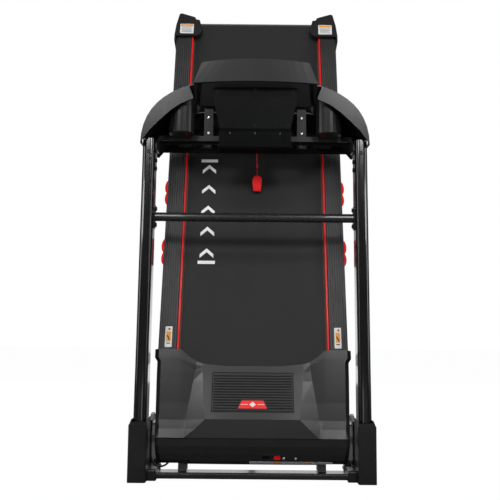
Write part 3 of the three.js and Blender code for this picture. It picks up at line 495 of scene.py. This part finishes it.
LANYARD = [
    spot(0, 215.2, 1253.4), spot(0, 220, 1255), spot(0, 226, 1252.5), spot(0, 231, 1243),
    spot(0.5, 234.5, 1228), spot(1, 237, 1210), spot(2, 238.4, 1192), spot(3, 238.9, 1172),
    spot(4, 238.9, 1150), spot(5.5, 238.9, 1125), spot(7, 238.9, 1100), spot(8, 238.9, 1075),
    spot(8.6, 238.9, 1050), spot(9, 238.9, 1035), spot(9, 238.9, 1024.5),
]
CABLE = [
    spot(-328, 60, 155), spot(-325.5, 60, 152), spot(-324, 60, 144), spot(-324, 59.5, 130),
    spot(-324, 59, 112), spot(-323.8, 58, 92), spot(-322.5, 57, 74), spot(-318, 56, 58),
    spot(-310, 55.5, 46.5), spot(-299, 55.5, 41), spot(-288, 56, 40.5), spot(-277, 57, 44),
    spot(-268, 59, 51), spot(-262, 61, 60), spot(-259, 62, 68),
]


def build_lanyard():
    path = smooth_path(LANYARD, 3)
    cord = tube("lanyard_cord", path, 0.0013, "cord_red", "safety_key")
    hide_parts("lanyard")
    low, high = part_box("lanyard_clip")
    middle = (Vector(low) + Vector(high)) / 2
    clip = build_clip(middle, high[2])
    bead = bead_piece(path)


def build_clip(middle, top):
    """A sprung clothes clip: two jaws, a round boss and a lip at the mouth."""
    bm = bmesh.new()
    x, y = middle.x, middle.y
    turns = [math.pi * k / 14 for k in range(15)]
    arc = [(0.0165 * math.cos(a), -0.0175 + 0.0165 * math.sin(a)) for a in turns]
    outline = [(-0.0165, -0.027), (-0.0135, -0.055), (-0.012, -0.058), (0.012, -0.058), (0.0135, -0.055),
               (0.0165, -0.027)] + arc
    for low, high in ((0.0008, 0.0046), (-0.0046, -0.0008)):
        prism(bm, outline, low, high, Matrix.Translation((x, y, top)) @ Matrix.Rotation(math.pi / 2, 4, "X"))
    clip = from_bm(bm, "clip_jaws", "switch_red", "safety_key", 0.0012, 3)
    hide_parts("lanyard_clip")
    bm = bmesh.new()
    front = facing((x, y - 0.0046, top - 0.0175), (0, -1, 0))
    boss = [(0, -0.0004), (0.0085, -0.0004), (0.0085, 0.0006), (0.006, 0.0009), (0.0055, 0.0003), (0, 0.0003)]
    lathe(bm, boss, 28, front)
    for k in range(5):
        bar = facing((x, y - 0.0046, top - 0.036 - 0.0042 * k), (0, -1, 0))
        prism(bm, rounded(0.022, 0.0016, 0.0007, 3), -0.0004, 0.0006, bar)
    from_bm(bm, "clip_ribs", "switch_red", "safety_key")
    return clip


def bead_piece(path):
    """The sliding toggle that sets the cord's length."""
    at = min(path, key=lambda p: abs(p.z - 1.058))
    bm = bmesh.new()
    barrel = [(0, -0.006), (0.0022, -0.006), (0.0033, -0.0042), (0.0036, 0), (0.0033, 0.0042),
              (0.0022, 0.006), (0, 0.006)]
    lathe(bm, barrel, 20, Matrix.Translation(at))
    return from_bm(bm, "lanyard_toggle", "switch_red", "safety_key")


def build_cable():
    curve = tube("cable_curve", smooth_path(CABLE, 3), 0.003, "cable_rubber", None)
    bpy.context.view_layer.update()
    shaped = curve.evaluated_get(bpy.context.evaluated_depsgraph_get())
    mesh = bpy.data.meshes.new_from_object(shaped)
    bpy.data.objects.remove(curve)
    piece = bpy.data.objects.new("console_cable_run", mesh)
    bpy.context.collection.objects.link(piece)
    sharpened(mesh, 60)
    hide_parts("console_cable")
    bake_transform(piece)


build_camera()
build_lanyard()
build_cable()
build_stage()


# ---- CAD nodes --------------------------------------------------------------
SLOTS = {part["node"]: part["material_slot"] for part in frame["record"]["subparts"]}
# Radius of each moulded or drawn edge.
EDGES = {
    "hood": 0.0016, "console_tray": 0.002, "visor": 0.0045, "boot": 0.0022, "upright": 0.006,
    "crossbar": 0.0012, "base_side": 0.0018, "base_front_tube": 0.0014, "base_mid_tube": 0.0014,
    "corner_block": 0.0025, "control_box": 0.0025, "lower_cover": 0.001, "end_cap": 0.003,
    "display_panel": 0.0015, "deck_frame": 0.0015, "foot_rail": 0.0004, "vent_panel": 0.0003,
    "base_foot": 0.002, "console_beam": 0.0006,
}

# Parts of a slot given a darker, duller copy of its material: the darker colour is painted shade on these
# down-facing parts under the console, and the low specular is a duller moulding.
DULLER_AND_SHADED = {"control_box": "cover_plastic", "lower_cover": "cover_plastic"}


def dress_nodes():
    for name, node in NODES.items():
        mesh = node.data
        mesh.materials.clear()
        stem = name.replace("_left", "").replace("_right", "")
        mesh.materials.append(M[DULLER_AND_SHADED.get(stem, SLOTS[name])])
        if stem in EDGES:
            softened(node, EDGES[stem])
        sharpened(mesh)


dress_nodes()


# ---- fasteners --------------------------------------------------------------
def socket_screw(bm, place, r, h=0.35):
    """A cap screw head with a round recess, standing h of its radius proud."""
    top = r * h
    head = [(0, -r * 0.2), (r, -r * 0.2), (r, top * 0.75), (r * 0.9, top), (r * 0.55, top),
            (r * 0.5, top * 0.3), (0, top * 0.3)]
    lathe(bm, head, 18, place)


def hex_bolt(bm, place, r):
    """A hexagon head on a washer."""
    washer = [(0, -r * 0.1), (r * 1.35, -r * 0.1), (r * 1.35, r * 0.12), (r * 1.2, r * 0.18), (0, r * 0.18)]
    lathe(bm, washer, 24, place)
    six = [(r * math.cos(math.pi * k / 3), r * math.sin(math.pi * k / 3)) for k in range(6)]
    prism(bm, six, r * 0.15, r * 0.75, place)
    lathe(bm, [(0, r * 0.7), (r * 0.8, r * 0.7), (r * 0.72, r * 0.82), (0, r * 0.82)], 20, place)


def patch(bm, node, outline_xy, place, thick=0.0004, lift=0.0001):
    """A thin plate that follows a node's surface: outline in x and y of place, dropped along its -z."""
    down = -(place.to_3x3() @ Vector((0, 0, 1)))
    low, high = [], []
    for x, y in outline_xy:
        start = place @ Vector((x, y, 0.05))
        hit, _ = surface(node, start, down)
        at = hit if hit else place @ Vector((x, y, 0))
        low.append(bm.verts.new(at - down * lift))
        high.append(bm.verts.new(at - down * (lift + thick)))
    count = len(low)
    bm.faces.new(low[::-1])
    bm.faces.new(high)
    for i in range(count):
        j = (i + 1) % count
        bm.faces.new((low[i], low[j], high[j], high[i]))


# ---- details: floor frame and uprights ---------------------------------------
HUB_X = 0.3035
HUB_AT = (-0.36, 0.026)
# How far the uprights lean back for each metre of height.
UPRIGHT_LEAN = 0.0454


def build_frame_details():
    for side, word in SIDES:
        upright = f"upright_{word}"
        low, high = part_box(upright)
        bm = bmesh.new()
        inner = side * (abs(low[0] if side > 0 else high[0]) - 0.02)
        for z in (1.04, 1.012):
            hit, normal = surface(upright, (inner, -0.457 + z * UPRIGHT_LEAN, z), (side, 0, 0))
            if hit:
                socket_screw(bm, facing(hit, normal), 0.0075, 0.6)
        hit, normal = surface(upright, (side * 0.3535, -0.7, 1.062), (0, 1, 0))
        socket_screw(bm, facing(hit, normal), 0.0065, 0.45)
        from_bm(bm, f"upright_screws_{word}", "bolt_black", "base")
        bm = bmesh.new()
        hit, normal = surface(f"boot_{word}", (side * 0.45, -0.456, 0.125), (-side, 0, 0))
        place = facing(hit, normal)
        disc = [(0, -0.0005), (0.0145, -0.0005), (0.0145, 0.0005), (0.0125, 0.0011), (0, 0.0014)]
        lathe(bm, disc, 30, place)
        from_bm(bm, f"boot_cap_{word}", "boot_plastic", "base")
        bm = bmesh.new()
        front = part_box(f"base_side_{word}")[0][1]
        for y in (front + 0.13, front + 0.155):
            hit, normal = surface(f"base_side_{word}", (side * 0.2, y, 0.165), (side, 0, 0))
            if hit:
                hex_bolt(bm, facing(hit, normal), 0.006)
        from_bm(bm, f"frame_bolts_{word}", "bolt_zinc", "base")
        bm = bmesh.new()
        hub = facing((side * HUB_X, *HUB_AT), (-side, 0, 0))
        lathe(bm, [(0, -0.002), (0.010, -0.002), (0.010, 0.0012), (0.0085, 0.002), (0, 0.002)], 24, hub)
        from_bm(bm, f"wheel_hub_{word}", "bolt_zinc", f"transport_wheel_{word}")


# ---- details: deck ----------------------------------------------------------
def deck_place(x, s, h):
    """A placing on the deck: x across, y up the deck, z away from the running surface."""
    return Matrix.Translation(deck_point(x, s, h)) @ DECK.to_3x3().to_4x4()


BELT_TOP = 74
LANE_X = -165


def build_deck_details():
    # Stickers and screws on the end caps, and a sticker on each rail.
    for side, word in SIDES:
        cap = f"end_cap_{word}"
        label(f"cap_label_{word}", cap, deck_place(side * 271, 1573, 98.5), 0.053, 0.045)
        rail_label(f"rail_label_{word}", deck_place(side * 280, 338, 86))
        bm = bmesh.new()
        hit, normal = surface(cap, deck_point(side * 300, 1535, 150), deck_way(0, 0, -1))
        if hit:
            socket_screw(bm, facing(hit, normal), 0.004)
        hit, normal = surface(cap, deck_point(side * 270, 1800, 49.5), deck_way(0, -1, 0))
        if hit:
            socket_screw(bm, facing(hit, normal, (1, 0, 0)), 0.0075)
        from_bm(bm, f"cap_screws_{word}", "bolt_black", "deck")
    # Lane marks printed on the belt.
    chevron = [(-0.024, -0.018), (0, 0.004), (0.024, -0.018), (0.024, -0.004), (0, 0.018), (-0.024, -0.004)]
    bm = bmesh.new()
    for k in range(5):
        at = deck_place(LANE_X, 640 + 82 * k, BELT_TOP)
        patch(bm, "running_belt", chevron, at, 0.00025, 0.0001)
    for s0, s1 in ((600, 612), (996, 1008)):
        bar = [(-0.03, s0 * MM), (0.03, s0 * MM), (0.03, s1 * MM), (-0.03, s1 * MM)]
        patch(bm, "running_belt", bar, deck_place(LANE_X, 0, BELT_TOP), 0.00025, 0.0001)
    from_bm(bm, "belt_marks", "print_white", "deck")


def label(name, node, place, w, h):
    """A sticker with rounded corners, an amber band across its top and five blank grey lines."""
    bm = bmesh.new()
    patch(bm, node, rounded(w, h, 0.003, 4), place, 0.0003, 0.0002)
    from_bm(bm, name, "label_white", "deck")
    bm = bmesh.new()
    patch(bm, node, rounded(w * 0.9, h * 0.18, 0.001, 2, 0, h * 0.36), place, 0.0002, 0.00052)
    from_bm(bm, name + "_band", "label_amber", "deck")
    bm = bmesh.new()
    for k in range(5):
        odd = k % 2
        line = rounded(w * (0.8 - 0.1 * odd), h * 0.045, 0.0005, 2, -w * 0.03 * odd, h * (0.18 - 0.13 * k))
        patch(bm, node, line, place, 0.0002, 0.00052)
    from_bm(bm, name + "_lines", "label_grey", "deck")


def rail_label(name, place):
    """A pale sticker lying across a rail's ribs, with an amber field and plain dark shapes on it."""
    bm = bmesh.new()
    prism(bm, rounded(0.023, 0.07, 0.002, 4), 0.0002, 0.0005, place)
    from_bm(bm, name, "label_white", "deck")
    bm = bmesh.new()
    prism(bm, rounded(0.015, 0.034, 0.001, 3, 0, 0.001), 0.0005, 0.0007, place)
    prism(bm, rounded(0.009, 0.009, 0.004, 4, 0.002, 0.026), 0.0005, 0.0007, place)
    from_bm(bm, name + "_field", "label_amber", "deck")
    bm = bmesh.new()
    prism(bm, [(-0.006, 0.004), (0.002, -0.012), (0.005, -0.01), (-0.003, 0.006)], 0.0007, 0.0009, place)
    prism(bm, rounded(0.012, 0.0035, 0.001, 3, 0, -0.022), 0.0005, 0.0007, place)
    prism(bm, rounded(0.003, 0.006, 0.001, 3, 0.002, 0.026), 0.0007, 0.0009, place)
    from_bm(bm, name + "_shapes", "void_black", "deck")


ABOVE = 200


def on_hood(x, s):
    """The point on top of the hood at x and s."""
    return surface("hood", deck_point(x, s, ABOVE), deck_way(0, 0, -1))[0]


VENT_START = 94
VENT_LENGTH = 122
VENT_RIBS = 14
GROOVE_X = 129.5
GROOVE_WIDTH = 0.0022


def build_vent_details():
    """Black bars painted as the shade in the slots between the vent's ribs, and a black bar painted as the
    shade of a groove round its panel.
    """
    bm = bmesh.new()
    pitch = VENT_LENGTH / VENT_RIBS
    for k in range(VENT_RIBS - 1):
        s = VENT_START + (k + 1) * pitch - pitch * 0.075
        hit, normal = surface("vent_panel", deck_point(0, s, ABOVE), deck_way(0, 0, -1))
        place = facing(hit, normal, deck_way(0, 1, 0))
        prism(bm, rounded(0.246, 0.0016, 0.0007, 2), 0.00005, 0.0004, place)
    from_bm(bm, "vent_slots", "void_black", "deck")
    # Black bars painted as the shade of a groove round the vent panel.
    bm = bmesh.new()
    for x in (-GROOVE_X, GROOVE_X):
        for s0, s1 in ((92, 120), (120, 190), (190, 218)):
            flat_bar(bm, on_hood(x, s0 + 0.5), on_hood(x, s1 - 0.5), GROOVE_WIDTH)
    for s in (91.5, 218.5):
        flat_bar(bm, on_hood(-GROOVE_X - 1, s), on_hood(GROOVE_X + 1, s), GROOVE_WIDTH)
    from_bm(bm, "vent_groove", "void_black", "deck")


def build_badge():
    """A red trapezium in a raised dark frame, with a plain diamond and two bars."""
    place = facing(deck_point(0, 114.5, 111.4), deck_way(0, 0.134, 0.991), deck_way(0, 1, 0))
    wide, high = 0.0455, 0.0125
    bm = bmesh.new()
    border = [(-wide - 0.004, -high - 0.0035), (wide + 0.004, -high - 0.0035),
              (wide - 0.0085, high + 0.003), (-wide + 0.0085, high + 0.003)]
    prism(bm, border, -0.003, 0.0006, place)
    from_bm(bm, "badge_frame", "vent_plastic", "deck", 0.0008)
    bm = bmesh.new()
    red = [(-wide, -high), (wide, -high), (wide - 0.0115, high), (-wide + 0.0115, high)]
    prism(bm, red, 0.0004, 0.0014, place)
    from_bm(bm, "badge_field", "switch_red", "deck", 0.0004)
    bm = bmesh.new()
    for side in (-1, 1):
        prism(bm, rounded(0.022, 0.0014, 0.0006, 2, side * 0.0265, 0), 0.0013, 0.0017, place)
    prism(bm, [(0, -0.0085), (0.0105, 0), (0, 0.0085), (-0.0105, 0)], 0.0013, 0.0017, place)
    from_bm(bm, "badge_mark", "label_white", "deck")


def build_rating_strip():
    """A silver strip below the nose, with two amber blocks and blank grey lines."""
    place = on_nose_front(122, -56)
    bm = bmesh.new()
    prism(bm, rounded(0.262, 0.0105, 0.001, 2), 0.0003, 0.0008, place)
    from_bm(bm, "rating_strip", "label_silver", "deck")
    bm = bmesh.new()
    for x in (-0.042, 0.055):
        prism(bm, rounded(0.024, 0.0095, 0.0008, 2, x, 0), 0.0007, 0.001, place)
    from_bm(bm, "rating_blocks", "label_amber", "deck")
    bm = bmesh.new()
    for x in (-0.108, -0.088, -0.07, -0.012, 0.008, 0.027, 0.083, 0.105):
        for y in (0.0022, -0.0018):
            prism(bm, rounded(0.014, 0.0011, 0.0004, 2, x, y), 0.0007, 0.0009, place)
    from_bm(bm, "rating_lines", "label_grey", "deck")


def build_nose_details():
    """Bezels round the inlet and the rocker, the screws beside them, and black discs painted as the shade
    inside the hood's screw holes.
    """
    bm = bmesh.new()
    for x, w, h in ((78, 0.026, 0.0185), (44, 0.0335, 0.0195)):
        ring_frame(bm, on_nose_front(x, SWITCH_S, exact=True), w, h, 0.0022, 0.0012)
    from_bm(bm, "switch_bezels", "vent_plastic", "deck", 0.0004)
    bm = bmesh.new()
    for x in (100, 136):
        socket_screw(bm, on_nose_front(x, -44), 0.0042, 0.5)
    from_bm(bm, "inlet_screws", "bolt_zinc", "deck")
    # Black discs painted as the shade inside the hood's screw holes.
    bm = bmesh.new()
    for x in (-201, 201):
        place = on_nose_front(x, -53)
        lathe(bm, [(0, 0.0001), (0.0052, 0.0001), (0.0052, 0.0006), (0, 0.0006)], 20, place)
    from_bm(bm, "hood_screw_holes", "void_black", "deck")


SWITCH_S = -42
NOSE_H = 68.5


def on_nose_front(x, s, exact=False):
    """A placing on the hood's nose at x, s, or at the switches' own plane where exact is true."""
    slope = deck_way(0, -0.73, 0.69)
    start = deck_point(x, s, NOSE_H - (SWITCH_S - s) * 1.1) + slope * 0.12
    hit, normal = surface("hood", start, -slope)
    if hit is None or exact:
        hit, normal = deck_point(x, SWITCH_S, NOSE_H), slope
    return facing(hit, normal, deck_way(0, 1, 0))


def ring_frame(bm, place, w, h, rim, rise):
    """A raised rectangular bezel, w by h inside."""
    outer = rounded(w + 2 * rim, h + 2 * rim, 0.002, 3)
    inner = rounded(w, h, 0.001, 3)
    count = len(outer)
    rows = [[bm.verts.new(place @ Vector((x, y, z))) for x, y in loop]
            for loop, z in ((outer, -0.0004), (outer, rise), (inner, rise), (inner, -0.0004))]
    for a in range(4):
        b = (a + 1) % 4
        for i in range(count):
            j = (i + 1) % count
            bm.faces.new((rows[a][i], rows[a][j], rows[b][j], rows[b][i]))


def flat_bar(bm, a, b, width, rise=0.0004):
    """A thin bar from a to b lying on the hood's top."""
    along = b - a
    up = deck_way(0, 0, 1)
    z = (up - along * (up.dot(along) / along.length_squared)).normalized()
    x = along.normalized()
    y = z.cross(x)
    place = Matrix((x, y, z)).transposed().to_4x4()
    place.translation = (a + b) / 2
    prism(bm, rounded(along.length, width, width * 0.3, 2), -0.0002, rise, place)


# ---- details: console ---------------------------------------------------------
def build_console_details():
    # Bright screws up the console brackets.
    bm = bmesh.new()
    for side in (-1, 1):
        for z in (1.207, 1.152):
            hit, normal = surface("console_beam", (side * 0.162, -0.9, z), (0, 1, 0))
            if hit:
                socket_screw(bm, facing(hit, normal), 0.0041, 0.5)
    from_bm(bm, "bracket_screws", "bolt_zinc", "base")
    # Black ovals painted as the shade inside the screw wells round the edge of the control box and inside the
    # slots in the cover below it.
    bm = bmesh.new()
    for x, z in ((-0.128, 1.272), (0, 1.281), (0.128, 1.272), (-0.112, 1.158), (0, 1.157), (0.112, 1.158)):
        well(bm, "control_box", x, z, 0.0062 if z > 1.2 else 0.0038)
    for x in (-0.084, 0, 0.084):
        well(bm, "lower_cover", x, 1.128, 0.0022, 2.4)
    from_bm(bm, "box_wells", "void_black", "base")
    bm = bmesh.new()
    for x in (-0.084, 0, 0.084):
        hit, normal = surface("lower_cover", (x, -0.9, 1.128), (0, 1, 0))
        if hit:
            prism(bm, rounded(0.0012, 0.007, 0.0004, 2), 0.0004, 0.0009, facing(hit, normal))
    from_bm(bm, "cover_clips", "bolt_zinc", "base")


FACE_MIDDLE = Vector((0, -0.3241, 1.2975))
FACE_OUT = Vector((0, 0.9245, 0.3812))
FACE_UP = Vector((0, -0.3812, 0.9245))


def on_panel(x, t):
    """A placing on the display's face, t up the slope from its middle."""
    start = FACE_MIDDLE + Vector((x, 0, 0)) + FACE_UP * t + FACE_OUT * 0.08
    hit, _ = surface("display_panel", start, -FACE_OUT)
    return facing(hit or start - FACE_OUT * 0.08, FACE_OUT, FACE_UP)


def build_display_details():
    # Screen: a glass window with three pale read-outs, each with blank bars.
    bm = bmesh.new()
    prism(bm, rounded(0.236, 0.062, 0.008, 6), 0.0001, 0.0014, on_panel(0, 0.034))
    from_bm(bm, "screen_window", "screen_glass", "base", bevel=0.0004)
    bm = bmesh.new()
    for x in (-0.076, 0, 0.076):
        prism(bm, rounded(0.062, 0.03, 0.003, 4), 0.0013, 0.0016, on_panel(x, 0.038))
    from_bm(bm, "screen_readouts", "label_grey", "base")
    bm = bmesh.new()
    for x in (-0.076, 0, 0.076):
        for k in (-1, 0, 1):
            prism(bm, rounded(0.011, 0.017, 0.002, 3), 0.0015, 0.0018, on_panel(x + 0.017 * k, 0.039))
        prism(bm, rounded(0.03, 0.003, 0.001, 2), 0.0013, 0.0017, on_panel(x, 0.014))
    from_bm(bm, "screen_bars", "screen_glass", "base")
    # Quick keys down each side, and a row under the screen.
    keys = [(side * 0.1335, 0.058 - 0.017 * k) for side in (-1, 1) for k in range(4)]
    keys += [(x, -0.02) for x in (-0.09, -0.06, -0.03, 0, 0.03, 0.06, 0.09)]
    bm = bmesh.new()
    for x, t in keys:
        prism(bm, rounded(0.016, 0.009, 0.003, 4), -0.0002, 0.0012, on_panel(x, t))
    from_bm(bm, "panel_keys", "rail_plastic", "base", 0.0004)
    bm = bmesh.new()
    for x, t in keys:
        prism(bm, rounded(0.006, 0.0012, 0.0005, 2), 0.0011, 0.0014, on_panel(x, t))
    from_bm(bm, "panel_key_marks", "print_white", "base")


def far_end(node, axis):
    """The farthest point of a node along an axis, on the node's own middle line, and its radius."""
    axis = Vector(axis).normalized()
    points = [v.co.copy() for v in NODES[node].data.vertices]
    top = max(p.dot(axis) for p in points)
    rim = [p for p in points if p.dot(axis) > top - 0.0006]
    centre = sum(rim, Vector()) / len(rim)
    return centre, max((p - centre).length for p in rim)


def build_strut_details():
    # Wiper seal at the cylinder's mouth.
    axis = Vector(JOINTS["strut_slide"]["axis"])
    centre, radius = far_end("strut_cylinder", axis)
    bm = bmesh.new()
    place = facing(centre, axis, (1, 0, 0))
    lathe(bm, [(0, -0.0005), (radius * 0.97, -0.0005), (radius * 0.97, 0.0012), (radius * 0.6, 0.0028),
               (0, 0.0028)], 28, place)
    from_bm(bm, "strut_seal", "cable_rubber", "strut_cylinder")


def build_inlet_details():
    # Three pins in the mains inlet.
    bm = bmesh.new()
    for x in (37, 44, 51):
        prism(bm, rounded(0.0022, 0.006, 0.0006, 2), -0.002, 0.0016, on_nose_front(x, SWITCH_S, exact=True))
    from_bm(bm, "inlet_pins", "bolt_black", "deck")


def well(bm, node, x, z, r, tall=1.35):
    """A dark oval on a node's front, marking the mouth of a screw well: painted shade standing for the
    shadowed inside of the well.
    """
    hit, normal = surface(node, (x, -0.9, z), (0, 1, 0))
    if not hit:
        return
    place = facing(hit, normal)
    points = [(r * math.cos(math.tau * k / 20), r * tall * math.sin(math.tau * k / 20)) for k in range(20)]
    prism(bm, points, -0.0005, 0.0004, place)


build_frame_details()
build_deck_details()
build_vent_details()
build_badge()
build_rating_strip()
build_nose_details()
build_console_details()
build_display_details()
build_strut_details()
build_inlet_details()
